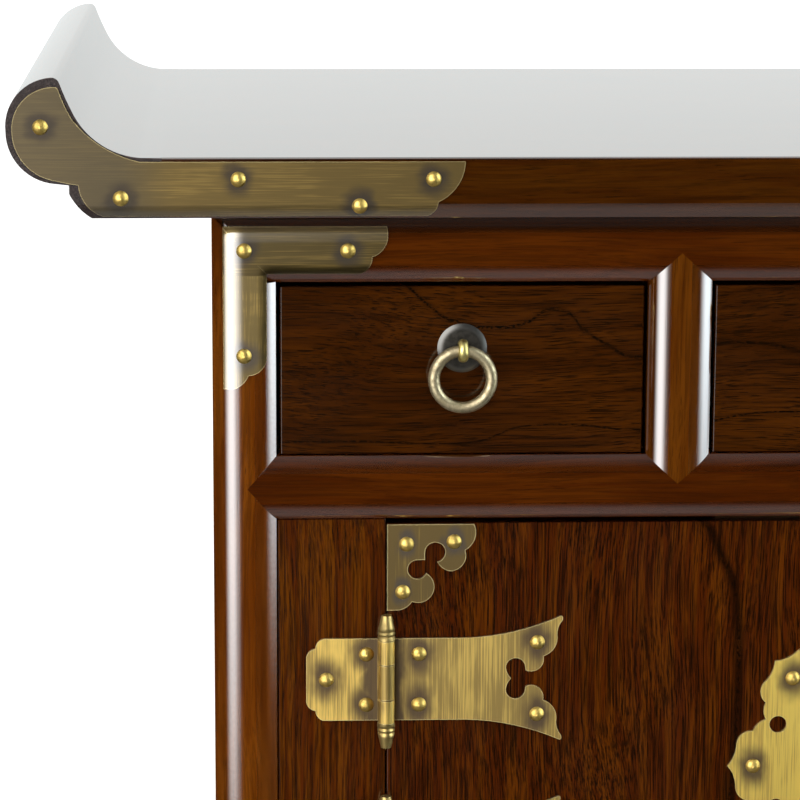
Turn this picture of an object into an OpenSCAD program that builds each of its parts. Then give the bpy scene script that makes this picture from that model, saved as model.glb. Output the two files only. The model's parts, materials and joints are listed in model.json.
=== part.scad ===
// Low altar-cabinet side table: scroll-ended top, three drawers, two doors, brass fittings.
// Origin at the centre of the footprint, on the floor. The front faces -Y, +Z is up.

/* [Carcass] */
// Width of the opening for one drawer
drawer_open_w = 140.8; // [110:0.1:180]
// Height of the drawer openings
drawer_open_h = 67; // [56:0.5:90]
// Height of the door opening
door_open_h = 201; // [185:1:320]
// Height of the legs below the bottom rail
leg_h = 60; // [30:1:150]
// Width and depth of a corner post, and width of a divider
post_w = 24; // [22:0.5:28]
// Height of the middle and bottom rails
rail_h = 24.5; // [22:0.5:28]
// Height of the top rails
top_rail_h = 25.4; // [24:0.2:30]
// Thickness of the rails and dividers, front to back
rail_t = 20; // [19:0.5:21.5]
// Radius of the rounded front edges of the frame
round_r = 9; // [6:0.5:10]
// Angle that a rounded front edge turns through
round_a = 50; // [35:1:55]
// Length of the mitred points of rails and dividers
point_d = 11; // [8:0.5:12]
// Thickness of the mitred points behind the front face
point_t = 10; // [7:0.5:10.4]
// Length of the tenons of the front and back rails
tenon_l = 13; // [8:0.5:14]
// Thickness of the tenons
tenon_t = 6; // [4:0.5:7]
// Shoulder above and below a tenon
tenon_shoulder = 6; // [5.5:0.5:8]

/* [Top] */
// Depth of the top, front to back
board_d = 300; // [240:1:400]
// Thickness of the top
board_t = 22.8; // [20:0.2:30]
// How far the top stands out before and behind the body
overhang = 6; // [2:0.5:12]
// How far the flat board runs past the body before the scroll block starts
scroll_joint = 18; // [14:0.5:19]
// Radius of the rounded lower edge of the top
nose_r = 8.5; // [5:0.5:10]
// Angle that the rounded lower edge turns through
nose_a = 40; // [30:1:75]
// Bevel along the upper edge of the top
board_bevel = 1; // [0.5:0.1:1.1]

/* [Scroll ends] */
// How far the roll of a scroll stands out past the side of the body
scroll_reach = 75.2; // [70:0.2:90]
// Height of the middle of the roll above the underside of the top
roll_z = 32.8; // [28:0.2:40]
// Distance of the crest of a scroll from the side of the body
crest_x = 57.2; // [54:0.2:64]
// Height of the crest above the flat top
crest_h = 29.8; // [26:0.2:40]
// Distance from the side of the body at which the top starts to sweep up
sweep_x = 26; // [20:0.5:32]
// How far the flat underside of the top runs past the side of the body
foot_x = 44; // [40:0.5:48]
// Distance of the notch under the roll from the side of the body
notch_x = 52.3; // [50:0.1:53]
// Height of that notch above the underside of the top
notch_z = 12.6; // [10:0.1:15]

/* [Panels] */
// Thickness of the side panels
side_panel_t = 6; // [4:0.5:8]
// Depth of the side panels behind the face of the frame
side_panel_set = 7; // [5:0.5:9]
// Thickness of the back panel
back_panel_t = 5; // [3:0.5:8]
// Depth of the back panel before the back of the frame
back_panel_set = 6; // [3:0.5:9]
// Depth of the grooves that hold panels
groove_d = 5; // [3:0.5:5]
// Thickness of the boards under the drawers and in the cupboard
shelf_t = 9; // [6:0.5:12]
// Width of the ledge that a shelf rests on
ledge = 6; // [4:0.5:8]
// Thickness of the partitions between the drawers
partition_t = 10; // [6:0.5:14]
// Height of the guide strips beside the drawers
guide_h = 10; // [6:0.5:16]
// Clearance round a piece that is let into another
slack = 0.1; // [0.05:0.05:0.2]

/* [Doors] */
// Width of the fixed panel between a post and a door
fixed_w = 41.7; // [36:0.1:60]
// Thickness of the fixed panels
fixed_t = 12; // [9:0.5:14]
// Gap round a fixed panel
panel_gap = 0.6; // [0.2:0.1:1]
// Thickness of the tongues on the fixed panels
tongue_t = 5; // [3:0.5:6]
// Thickness of the doors
door_t = 15; // [12:0.5:15]
// Depth of drawer fronts and doors behind the face of the frame
recess = 4.5; // [4:0.1:6]
// Gap above and below a door
door_gap = 2.4; // [1:0.1:4]
// Gap beside a door
side_gap = 0.6; // [0.4:0.1:1.5]
// Bevel on the meeting edges of the doors, so that each swings past the other
meeting_bevel = 1.2; // [1:0.1:2]
// Length of the batten that the doors close against
stop_l = 130; // [60:1:180]
// Thickness of that batten, front to back
stop_t = 12; // [8:0.5:16]
// How far the batten reaches down behind the doors
stop_lap = 8; // [4:0.5:20]

/* [Drawers] */
// Gap at each side of a drawer
drawer_side_gap = 1.4; // [0.6:0.1:2.5]
// Gap above a drawer front
drawer_top_gap = 2; // [1:0.1:4]
// Gap below a drawer
drawer_low_gap = 0.3; // [0.2:0.05:0.8]
// Thickness of a drawer front
drawer_front_t = 14; // [11:0.5:18]
// Room between a shut drawer and the back rail
drawer_room = 18.5; // [2:0.5:80]
// Thickness of drawer sides and backs
drawer_side_t = 8; // [6:0.5:12]
// How far drawer sides stay below the top of their opening
drawer_side_drop = 17; // [6:0.5:30]
// Thickness of a drawer bottom
drawer_bottom_t = 4; // [3:0.5:6]
// Height of the underside of a drawer bottom
drawer_bottom_z = 6; // [4:0.5:12]
// Depth of the grooves for a drawer bottom
drawer_groove = 4; // [2:0.5:5]

/* [Brass] */
// Thickness of the brass sheet
plate_t = 0.8; // [0.6:0.1:1.2]
// How far a top plate runs along the front from the side of the body
plate_reach = 94.5; // [70:0.5:140]
// Radius of a tack head
tack_r = 2.9; // [2:0.1:3]
// Height of a tack head
tack_h = 1.7; // [1:0.1:2.2]
// Radius of a tack's pin
tack_pin_r = 0.75; // [0.5:0.05:1]
// Length of a tack's pin in the wood
tack_pin_l = 7; // [4:0.5:9]
// Radius of the hinge knuckles
knuckle_r = 3.2; // [2.9:0.1:3.5]
// Radius of the hinge pins
pin_r = 1.5; // [1.2:0.1:1.7]
// Running clearance between pin and knuckle
pin_play = 0.05; // [0.02:0.01:0.1]
// Half the height of a hinge leaf beside the pin
leaf_half = 16.4; // [15:0.2:18]
// Half the length of the middle knuckle
knuckle_half = 6.9; // [5:0.1:9]
// Height of a hinge finial beyond the knuckles
finial_h = 10; // [8:0.2:12]
// Distance from the end of a door to the centre of its hinge
hinge_inset = 61.8; // [61.5:0.1:66]
// Radius of the round lock plate at its tips
lock_r = 60; // [56:0.5:62]
// Radius of the holes pierced in the lock plate
lock_hole_r = 3.3; // [2:0.1:4]

/* [Ring pulls] */
// Radius of the domed rose behind a ring
rose_r = 9.4; // [7:0.1:11]
// Height of the rose
rose_h = 2.4; // [1.5:0.1:3]
// Height of a drawer's rose above the middle of its opening
rose_rise = 7.7; // [4:0.1:10]
// Mean radius of a ring
ring_r = 10.9; // [9:0.1:12]
// Radius of a ring's wire
ring_wire_r = 2.2; // [1.5:0.1:2.2]
// Inner radius of the staple's eye
eye_in_r = 2.7; // [2.6:0.1:3]
// Thickness of the staple round the eye
eye_t = 2.4; // [1.6:0.1:2.6]
// Width of the staple
eye_w = 3.6; // [2.4:0.1:4]
// Radius of the staple's shank
shank_r = 1.5; // [1:0.1:1.7]
// Distance of a door's ring from the middle of the lock plate
door_ring_x = 16; // [14:0.5:24]

/* [Hidden] */

frame_wood = "#4a2310";
drawer_wood = "#331808";
door_wood = "#5c2c10";
inner_wood = "#b08a5a";
antique_brass = "#8f7a45";
bright_brass = "#d8b850";
ring_brass = "#bca878";
dark_bronze = "#4a4438";

// Greatest distance of a curved outline from its arc
fineness = 0.03;
// Distance that a cutting body runs past a face
past = 1;

// Widths
inner_w = 3 * drawer_open_w + 2 * post_w;
body_w = inner_w + 2 * post_w;
side_x = body_w / 2;
divider_x = (drawer_open_w + post_w) / 2;
board_half = side_x + scroll_joint;

// Depths, with the tacks of the top plates as the foremost points
front_proud = plate_t + tack_h;
board_front = (front_proud - board_d) / 2;
front_y = board_front + overhang;
back_y = board_front + board_d - overhang;
body_d = back_y - front_y;

// Heights
bottom_rail_z = leg_h;
door_open_z = bottom_rail_z + rail_h;
middle_rail_z = door_open_z + door_open_h;
drawer_z = middle_rail_z + rail_h;
top_rail_z = drawer_z + drawer_open_h;
board_z = top_rail_z + top_rail_h;

// Rounded front edge of a frame member: its width across the face, its drop and its bow
edge_across = round_r * sin(round_a);
edge_drop = round_r * (1 - cos(round_a));
edge_bow = tan(round_a / 4);
quarter_bow = tan(90 / 4);

// Rounded lower edge of the top
nose_h = nose_r * sin(nose_a);
nose_in = nose_r * (1 - cos(nose_a));

// Tenons lie behind the mitred points
tenon_y = point_t + past;
side_tenon_l = post_w - tenon_y - tenon_t - 1;

// Doors, measured at the left one
door_face_y = front_y + recess;
fixed_edge = side_x - post_w - fixed_w;
door_w = fixed_edge - 1.5 * side_gap;
door_x = -fixed_edge + side_gap;
door_z = door_open_z + door_gap;
door_h = door_open_h - 2 * door_gap;
pin_x = -fixed_edge + side_gap / 2;
pin_y = door_face_y - knuckle_r - 0.3;
hinge_zs = [door_z + hinge_inset, door_z + door_h - hinge_inset];
knuckle_gap = 0.3;
lock_z = door_open_z + door_open_h / 2;
lock_gap = side_gap / 2;

// Drawers
drawer_w = drawer_open_w - 2 * drawer_side_gap;
drawer_front_h = drawer_open_h - drawer_top_gap - drawer_low_gap;
drawer_face_y = front_y + recess;
drawer_pull_z = drawer_z + drawer_open_h / 2 + rose_rise;
drawer_box_d = body_d - rail_t - recess - drawer_room - drawer_front_t;
drawer_side_h = drawer_open_h - drawer_side_drop;

// Ring pulls: the eye stands this far before the face that carries the rose
eye_out_r = eye_in_r + eye_t;
eye_reach = eye_out_r + 0.5;

// Outlines: corners are [x, z, bow], where bow is the rise of the arc to the next corner over
// half its chord, above 0 where the outline swells and below 0 where it is hollow

// Scroll block: x from the side of the body, z from the underside of the top
scroll_outline = [
    [-foot_x, 0, 0], [-scroll_joint, 0, 0], [-scroll_joint, board_t, 0],
    [-sweep_x, board_t, -0.28], [-crest_x + 6.1, board_t + crest_h - 11.8, -0.03],
    [-crest_x + 1.9, board_t + crest_h - 1.9, 0.32],
    [-crest_x - 1.1, board_t + crest_h - 0.1, 0.417],
    [-scroll_reach, roll_z, 0.4], [-crest_x + 0.2, notch_z + 0.5, 0], [-notch_x, notch_z, 0],
    [-notch_x, notch_z - 3.1, 0.12]
];

// Brass plate on the front of the top, in the same frame
plate_low = 0.9;
plate_high = board_t - 1.4;
top_plate_outline = [
    [-foot_x + 4, plate_low, 0], [plate_reach - 13.9, plate_low, 0.3],
    [plate_reach - 10, 6.2, 0.29], [plate_reach, plate_high, 0], [-sweep_x, plate_high, -0.18],
    [-crest_x + 6.4, board_t + crest_h - 15.3, -0.05],
    [-crest_x + 1.4, board_t + crest_h - 4, 0.2], [-crest_x - 0.2, board_t + crest_h - 3.5, 0.43],
    [-scroll_reach + 2.3, roll_z - 0.5, 0.37], [-crest_x + 0.5, notch_z + 1.6, 0.03],
    [-notch_x + 3.5, notch_z + 0.1, 0.29]
];
top_plate_tacks = [
    [-scroll_reach + 12.8, roll_z + 1.5], [-notch_x + 19.1, 7.8], [10.3, 14.8],
    [plate_reach - 39.3, 4.8], [plate_reach - 11.8, 14.8]
];

// Bracket on the upper corner of the frame, in the same frame
bracket_w = 20.6;
bracket_outline = [
    [4.2, -65.8, 0], [8.6, -65.6, 0.2], [13.7, -60.6, 0.38], [bracket_w, -54, 0],
    [bracket_w, -21.8, 0], [55.8, -21.8, 0.34], [60.2, -15.4, 0.36], [66, -6.6, 0.1],
    [65.6, -3.9, 0], [4.2, -3.9, 0]
];
bracket_tacks = [[12.2, -13], [51, -13], [12, -53]];

// Plate on a door corner: x from the edge of the door, z from its top
corner_plate_outline = [
    [0, -34.3, 0], [3.8, -34.3, 0.25], [9.6, -30.9, 0.93], [15, -19.6, -1.85],
    [11.6, -14.35, 0], [14.45, -14.35, 0], [14.45, -11.2, -2.04], [19.2, -15.2, 0.25],
    [24.4, -18.9, 0.5], [29.9, -10.6, 0.4], [33.2, -0.3, 0], [0, -0.3, 0]
];
corner_plate_tacks = [[7.4, -8.1], [25.6, -7.2], [6, -27]];

// Half of a door hinge leaf, upwards from its middle: x from the pin
leaf_tip_h = leaf_half + 8.4;
door_leaf_half = [
    [48.3, 0, -0.17], [46.3, 4.4, -1], [53.8, 4.4, 0], [54, 3.2, 0.64], [60.8, 8.8, 0.38],
    [66, leaf_half + 1, -0.18], [67.9, leaf_half + 6.6, 0.2], [68.1, leaf_tip_h - 0.4, 0.4],
    [67.2, leaf_tip_h, -0.1], [30.7, leaf_half, 0], [0, leaf_half, 0]
];
door_leaf_tacks = [[12.7, 10.1], [12.7, -10.1], [58.4, 14.4], [58.4, -14.4]];

// Fixed hinge leaf
fixed_leaf_outline = [
    [-30.7, 9, 0], [-30.7, -9, 0.36], [-27.2, -12.4, 0.33], [-24.2, -leaf_half, 0],
    [0, -leaf_half, 0], [0, leaf_half, 0], [-24.2, leaf_half, 0.33], [-27.2, 12.4, 0.36]
];
fixed_leaf_tacks = [[-23, 0], [-7.6, 10.1], [-7.6, -10.1]];

// Lock plate: one of its eight leaves, as [radius, angle from the tip, bow]
lock_leaf = [
    [lock_r, 0, -0.19], [lock_r - 2.6, 9.2, 0.4], [lock_r - 7.7, 15.8, 0.24],
    [lock_r - 10.8, 22.5, 0.24], [lock_r - 7.7, 29.2, 0.4], [lock_r - 2.6, 35.8, -0.19]
];
lock_tack_r = lock_r - 10;
lock_hole_at = lock_r - 16;

// Hinge finial above a knuckle, as [radius, height]
finial_profile = [
    [0, 0.2], [knuckle_r + 0.2, 0.2], [knuckle_r + 0.2, 1.5], [knuckle_r - 0.3, 1.7],
    [knuckle_r - 0.3, 2.1], [knuckle_r + 0.1, 2.3], [knuckle_r + 0.1, 3.3],
    [knuckle_r - 0.2, 3.5], [knuckle_r - 0.2, 3.9], [knuckle_r + 0.1, 4.1],
    [knuckle_r - 1.2, finial_h], [0, finial_h]
];

// Curved outlines
function turned(v, a) = [v.x * cos(a) - v.y * sin(a), v.x * sin(a) + v.y * cos(a)];
function flat(p) = [p.x, p.y];
function bow_turn(b) = 4 * atan(b);
function bow_rise(p, q) = abs(p.z) * norm(flat(q) - flat(p)) / 2;
function bow_steps(p, q) = p.z == 0 ? 1 : max(2, ceil(sqrt(bow_rise(p, q) / fineness)));
function bow_centre(p, q) =
    (flat(p) + flat(q)) / 2 + turned(flat(q) - flat(p), 90) * (1 - p.z * p.z) / (4 * p.z);
function bow_points(p, q) =
    p.z == 0 ? [flat(p)] :
    let (c = bow_centre(p, q), n = bow_steps(p, q))
    [for (k = [0 : n - 1]) c + turned(flat(p) - c, bow_turn(p.z) * k / n)];
function bowed(path) =
    [for (i = [0 : len(path) - 1]) each bow_points(path[i], path[(i + 1) % len(path)])];
// The same path seen in a mirror across its first axis, walked the other way round
function flipped(path) =
    let (n = len(path))
    [for (i = [0 : n - 1]) let (p = path[n - 1 - i], q = path[(2 * n - 2 - i) % n])
        [p.x, -p.y, q.z]];
function swapped(points) = [for (p = points) [p.y, p.x]];

// Section of a frame member, as [across the face, behind the face]
function member(w, t) = bowed([
    [edge_across, 0, 0], [w - edge_across, 0, edge_bow], [w, edge_drop, 0],
    [w, t, 0], [0, t, 0], [0, edge_drop, edge_bow]
]);
// A sheet that lies on the face of a frame member
function member_cover(w, t, g) = bowed([
    [edge_across, -g, 0], [w - edge_across, -g, edge_bow],
    [w + g * sin(round_a), edge_drop - g * cos(round_a), 0], [w, t, 0], [0, t, 0],
    [-g * sin(round_a), edge_drop - g * cos(round_a), edge_bow]
]);
// Plan of a front post, and of a sheet round it
function post_plan(g = 0) = bowed([
    [round_r, -g, 0], [post_w - edge_across, -g, edge_bow],
    [post_w + g * sin(round_a), edge_drop - g * cos(round_a), 0], [post_w, post_w, 0],
    [edge_drop, post_w, edge_bow], [-g, post_w - edge_across, 0], [-g, round_r, quarter_bow]
]);
// Plan of a back post: flat behind, rounded beside the side panel
back_round_r = 3;
function back_post_plan() = bowed([
    [back_round_r, 0, 0], [post_w, 0, 0], [post_w, post_w, 0], [edge_drop, post_w, edge_bow],
    [0, post_w - edge_across, 0], [0, back_round_r, quarter_bow]
]);
// Section of the top, as [from its front, up]
function board_section() = concat(
    nose_arc(0), reversed([for (p = nose_arc(0)) [board_d - p.x, p.y]]),
    [
        [board_d, board_t - board_bevel], [board_d - board_bevel, board_t],
        [board_bevel, board_t], [0, board_t - board_bevel]
    ]
);
// The arc of its lower front edge from the flat front down, at a distance g outside it
nose_steps = 6;
function nose_arc(g) =
    [for (k = [0 : nose_steps])
        [nose_r, nose_h] + turned([-nose_r - g, 0], nose_a * k / nose_steps)];
function reversed(points) = [for (k = [1 : len(points)]) points[len(points) - k]];
// Section of a sheet of thickness g on the front of the top, bent round its lower edge
function nose_sheet(g, h) = concat([[0, h]], nose_arc(0), reversed(nose_arc(g)), [[-g, h]]);

// Placing
module along_x(x, l) translate([x, 0, 0]) rotate([90, 0, 90]) linear_extrude(l) children();
module along_y(y, l) translate([0, y + l, 0]) rotate([90, 0, 0]) linear_extrude(l) children();
module on_right(yes = true) mirror([yes ? 1 : 0, 0, 0]) children();
module both_sides() for (s = [false, true]) on_right(s) children();
// A frame with x from the left side of the body, y from the front of the frame
module at_left_front(z = 0) translate([-side_x, front_y, z]) children();
// The same frame at the back, looking forwards
module at_left_back() translate([-side_x, back_y, 0]) mirror([0, 1, 0]) children();
// A frame on a front face, with its z towards the viewer
module facing(x, y, z) translate([x, y, z]) rotate([90, 0, 0]) children();

// Tacks
module tack() {
    r = (tack_r * tack_r + tack_h * tack_h) / (2 * tack_h);
    intersection() {
        translate([0, 0, tack_h - r]) sphere(r, $fn = 32);
        cylinder(h = tack_h, r = tack_r + past, $fn = 32);
    }
    translate([0, 0, -plate_t - tack_pin_l]) cylinder(h = plate_t + tack_pin_l + 0.2, r = tack_pin_r, $fn = 24);
}
module tack_hole() {
    translate([0, 0, -plate_t - tack_pin_l - slack])
        cylinder(h = plate_t + tack_pin_l + slack + past, r = tack_pin_r + slack, $fn = 24);
}
// Children at each [x, z] of a list, on a face at depth y
module at_tacks(list, y) for (p = list) facing(p.x, y, p.y) children();
// Children at the tacks of the left top plate, turned square to its bent lower edge
module at_top_tacks() {
    for (p = top_plate_tacks) {
        a = p.y < nose_h ? asin((nose_h - p.y) / (nose_r + plate_t)) : 0;
        y = p.y < nose_h ? nose_r - (nose_r + plate_t) * cos(a) : -plate_t;
        translate([p.x - side_x, board_front + y, board_z + p.y]) rotate([90 + a, 0, 0]) children();
    }
}
module at_bracket_tacks() {
    translate([-side_x, 0, board_z]) at_tacks(bracket_tacks, front_y - plate_t) children();
}

// Top
module top_board() {
    color(frame_wood) difference() {
        translate([0, board_front, board_z]) along_x(-board_half, 2 * board_half)
            polygon(board_section());
        both_sides() at_top_tacks() tack_hole();
    }
}
module scroll_end() {
    color(frame_wood) difference() {
        translate([-side_x, 0, board_z]) along_y(board_front, board_d)
            polygon(bowed(scroll_outline));
        for (back = [0, 1]) translate([0, board_front + back * board_d, board_z])
            mirror([0, back, 0]) along_x(-side_x - scroll_reach - past, scroll_reach + past) nose_corner();
        at_top_tacks() tack_hole();
    }
}
// What the rounded lower edge takes off the corner of the top
module nose_corner() {
    polygon(concat([[-past, -past], [nose_in, -past]], reversed(nose_arc(0)), [[-past, nose_h]]));
}
module top_plate() {
    color(antique_brass) difference() {
        intersection() {
            translate([-side_x, 0, board_z]) along_y(board_front - past, nose_r + past)
                polygon(bowed(top_plate_outline));
            translate([0, board_front, board_z])
                along_x(-side_x - scroll_reach, scroll_reach + plate_reach)
                polygon(nose_sheet(plate_t, board_t + crest_h));
        }
        at_top_tacks() tack_hole();
    }
}

// Frame
// Outline of a rail as [x, z], with a point at each end
function pointed(l, h, d) = [[-l / 2, 0], [l / 2, 0], [l / 2 + d, h / 2], [l / 2, h], [-l / 2, h], [-l / 2 - d, h / 2]];
// A front rail from its lower edge up: its outline in front, its length between the posts behind
module rail_body(h, outline) {
    intersection() {
        translate([0, front_y, 0]) along_x(-side_x, body_w) polygon(swapped(member(h, rail_t)));
        union() {
            along_y(front_y - past, point_t + past) polygon(outline);
            along_y(front_y, rail_t) translate([-inner_w / 2, 0]) square([inner_w, h]);
        }
    }
    both_sides() translate([-inner_w / 2 - tenon_l, front_y + tenon_y, tenon_shoulder])
        cube([tenon_l + past, tenon_t, h - 2 * tenon_shoulder]);
}
module divider_points(z) {
    for (x = [-divider_x, divider_x])
        along_y(front_y - past, point_t + past) translate([x, z])
            polygon([[-post_w / 2, 0], [0, -point_d], [post_w / 2, 0], [0, point_d]]);
}
module divider_mortises(z) {
    for (x = [-divider_x, divider_x])
        translate([x - post_w / 2 + tenon_shoulder, front_y + tenon_y, z - side_tenon_l - slack])
            cube([post_w - 2 * tenon_shoulder, tenon_t, 2 * side_tenon_l + 2 * slack]);
}
// The mitre of top rail and post stops beside the bracket, where the rail runs over the post
cope_l = post_w - bracket_w;
cope_h = cope_l * top_rail_h / post_w;
module front_top_rail() {
    h = top_rail_h;
    color(frame_wood) difference() {
        intersection() {
            translate([0, 0, top_rail_z]) rail_body(h, [
                [-inner_w / 2 - cope_l, 0], [inner_w / 2 + cope_l, 0],
                [inner_w / 2 + cope_l, cope_h], [side_x, h], [-side_x, h],
                [-inner_w / 2 - cope_l, cope_h]
            ]);
            translate([0, 0, top_rail_z]) linear_extrude(h) front_plan();
        }
        divider_points(top_rail_z);
        divider_mortises(top_rail_z);
        both_sides() at_bracket_tacks() tack_hole();
    }
}
// Plan of the front of the body with its rounded corners
module front_plan() {
    r = round_r;
    translate([0, front_y]) polygon(bowed([
        [-side_x + r, 0, 0], [side_x - r, 0, quarter_bow], [side_x, r, 0], [side_x, rail_t, 0],
        [-side_x, rail_t, 0], [-side_x, r, quarter_bow]
    ]));
}
module front_middle_rail() {
    color(frame_wood) difference() {
        translate([0, 0, middle_rail_z]) rail_body(rail_h, pointed(inner_w, rail_h, point_d));
        divider_points(drawer_z);
        divider_mortises(drawer_z);
        shelf_space(drawer_z);
        both_sides() fixed_panel_groove();
    }
}
module front_bottom_rail() {
    color(frame_wood) difference() {
        translate([0, 0, bottom_rail_z]) rail_body(rail_h, pointed(inner_w, rail_h, point_d));
        shelf_space(door_open_z);
        both_sides() fixed_panel_groove();
    }
}
module divider() {
    h = drawer_open_h;
    color(frame_wood) translate([-divider_x, front_y, drawer_z]) {
        intersection() {
            translate([-post_w / 2, 0, -point_d]) linear_extrude(h + 2 * point_d)
                polygon(member(post_w, rail_t));
            union() {
                along_y(-past, point_t + past) polygon([
                    [-post_w / 2, 0], [0, -point_d], [post_w / 2, 0], [post_w / 2, h],
                    [0, h + point_d], [-post_w / 2, h]
                ]);
                translate([-post_w / 2, 0, 0]) cube([post_w, rail_t, h]);
            }
        }
        translate([-post_w / 2 + tenon_shoulder, tenon_y, -side_tenon_l])
            cube([post_w - 2 * tenon_shoulder, tenon_t, h + 2 * side_tenon_l]);
    }
}
// Space in a post for the point of a rail at height z, seen from the face at x = 0
module point_space(z, h) {
    along_y(-past, point_t + past)
        polygon([[post_w, z], [post_w + past, z], [post_w + past, z + h], [post_w, z + h], [post_w - point_d, z + h / 2]]);
}
// The same in the side face of a post
module side_point_space(z, h) {
    multmatrix([[0, 1, 0, 0], [1, 0, 0, 0], [0, 0, 1, 0]]) point_space(z, h);
}
module mortise(z, h, l) {
    translate([post_w - l - slack, tenon_y - slack, z + tenon_shoulder - slack])
        cube([l + slack + past, tenon_t + 2 * slack, h - 2 * tenon_shoulder + 2 * slack]);
}
module side_mortise(z, h) {
    translate([tenon_y - slack, post_w - side_tenon_l - slack, z + tenon_shoulder - slack])
        cube([tenon_t + 2 * slack, side_tenon_l + slack + past, h - 2 * tenon_shoulder + 2 * slack]);
}
// Rails that meet the posts, as [height of the lower edge, height of the rail]
rails = [[bottom_rail_z, rail_h], [middle_rail_z, rail_h], [top_rail_z, top_rail_h]];
// Openings of the side frames, as [lower edge, height]
side_openings = [[door_open_z, door_open_h], [drawer_z, drawer_open_h]];

module side_cuts() {
    for (r = rails) {
        side_point_space(r[0], r[1]);
        side_mortise(r[0], r[1]);
    }
    for (o = side_openings)
        translate([side_panel_set - slack, post_w - groove_d - slack, o[0] - groove_d - slack])
            cube([side_panel_t + 2 * slack, groove_d + slack + past, o[1] + 2 * groove_d + 2 * slack]);
}
module front_post() {
    color(frame_wood) difference() {
        at_left_front() difference() {
            linear_extrude(board_z) polygon(post_plan());
            for (r = rails) mortise(r[0], r[1], tenon_l);
            point_space(bottom_rail_z, rail_h);
            point_space(middle_rail_z, rail_h);
            along_y(-past, point_t + past) polygon([
                [0, board_z], [bracket_w, top_rail_z + cope_h], [bracket_w, top_rail_z],
                [post_w + past, top_rail_z], [post_w + past, board_z + past],
                [-past, board_z + past], [-past, board_z]
            ]);
            side_cuts();
        }
        fixed_panel_groove();
        at_bracket_tacks() tack_hole();
    }
}
module back_post() {
    color(frame_wood) at_left_back() difference() {
        linear_extrude(board_z) polygon(back_post_plan());
        for (r = rails) mortise(r[0], r[1], tenon_l);
        side_cuts();
        for (o = side_openings)
            translate([post_w - groove_d - slack, back_panel_set - slack, o[0] - groove_d - slack])
                cube([groove_d + slack + past, back_panel_t + 2 * slack, o[1] + 2 * groove_d + 2 * slack]);
    }
}
// Space for a shelf whose top is at height z
module shelf_space(z) {
    translate([-side_x + rail_t - ledge, front_y + rail_t - ledge, z - shelf_t])
        cube([body_w - 2 * (rail_t - ledge), body_d - 2 * (rail_t - ledge), shelf_t + past]);
}
module side_rails() {
    l = body_d - 2 * post_w;
    color(frame_wood) both_sides() for (r = rails) difference() {
        at_left_front(r[0]) {
            intersection() {
                translate([0, body_d, 0]) rotate([90, 0, 0]) linear_extrude(body_d)
                    polygon(swapped(member(r[1], rail_t)));
                union() {
                    translate([point_t, post_w + l / 2, 0]) rotate([90, 0, -90])
                        linear_extrude(point_t + past) polygon(pointed(l, r[1], point_d));
                    translate([0, post_w, 0]) cube([rail_t, l, r[1]]);
                }
            }
            translate([tenon_y, post_w - side_tenon_l, tenon_shoulder])
                cube([tenon_t, l + 2 * side_tenon_l, r[1] - 2 * tenon_shoulder]);
        }
        at_left_front() for (o = side_openings)
            translate([side_panel_set - slack, post_w - point_d - past, o[0] - groove_d - slack])
                cube([side_panel_t + 2 * slack, l + 2 * point_d + 2 * past, o[1] + 2 * groove_d + 2 * slack]);
        if (r[0] < top_rail_z) shelf_space(r[0] + r[1]);
    }
}
module back_rails() {
    color(frame_wood) for (r = rails) difference() {
        translate([0, back_y, r[0]]) mirror([0, 1, 0]) {
            translate([-inner_w / 2, 0, 0]) cube([inner_w, rail_t, r[1]]);
            translate([-inner_w / 2 - tenon_l, tenon_y, tenon_shoulder])
                cube([inner_w + 2 * tenon_l, tenon_t, r[1] - 2 * tenon_shoulder]);
        }
        translate([0, back_y, 0]) mirror([0, 1, 0]) for (o = side_openings)
            translate([-inner_w / 2 - past, back_panel_set - slack, o[0] - groove_d - slack])
                cube([inner_w + 2 * past, back_panel_t + 2 * slack, o[1] + 2 * groove_d + 2 * slack]);
        if (r[0] < top_rail_z) shelf_space(r[0] + r[1]);
    }
}

// Panels and shelves
module side_panels() {
    color(frame_wood) at_left_front() for (o = side_openings)
        translate([side_panel_set, post_w - groove_d, o[0] - groove_d])
            cube([side_panel_t, body_d - 2 * post_w + 2 * groove_d, o[1] + 2 * groove_d]);
}
module back_panels() {
    color(inner_wood) translate([0, back_y, 0]) mirror([0, 1, 0]) for (o = side_openings)
        translate([-inner_w / 2 - groove_d, back_panel_set, o[0] - groove_d])
            cube([inner_w + 2 * groove_d, back_panel_t, o[1] + 2 * groove_d]);
}
tongue_y = recess + (fixed_t - tongue_t) / 2;
module fixed_panel_groove() {
    at_left_front(door_open_z) translate([post_w - groove_d - slack, tongue_y - slack, -groove_d - slack])
        cube([fixed_w + groove_d + 2 * slack, tongue_t + 2 * slack, door_open_h + 2 * groove_d + 2 * slack]);
}
module fixed_front_panel() {
    color(door_wood) difference() {
        at_left_front(door_open_z) {
            translate([post_w + panel_gap, recess, panel_gap])
                cube([fixed_w - panel_gap, fixed_t, door_open_h - 2 * panel_gap]);
            translate([post_w - groove_d, tongue_y, -groove_d])
                cube([fixed_w + groove_d, tongue_t, door_open_h + 2 * groove_d]);
        }
        at_hinges() at_tacks(fixed_leaf_tacks, leaf_face_y) tack_hole();
    }
}
module shelf(z) {
    w = body_w - 2 * (rail_t - ledge) - 2 * slack;
    d = body_d - 2 * (rail_t - ledge) - 2 * slack;
    notch = post_w - rail_t + ledge + slack;
    color(inner_wood) translate([0, (front_y + back_y) / 2, z - shelf_t]) difference() {
        translate([-w / 2, -d / 2, 0]) cube([w, d, shelf_t]);
        for (x = [-1, 1], y = [-1, 1])
            translate([x * w / 2 - notch, y * d / 2 - notch, -past])
                cube([2 * notch, 2 * notch, shelf_t + 2 * past]);
    }
}
module drawer_deck() {
    color(inner_wood) difference() {
        shelf(drawer_z);
        divider_mortises(drawer_z);
    }
}
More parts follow.
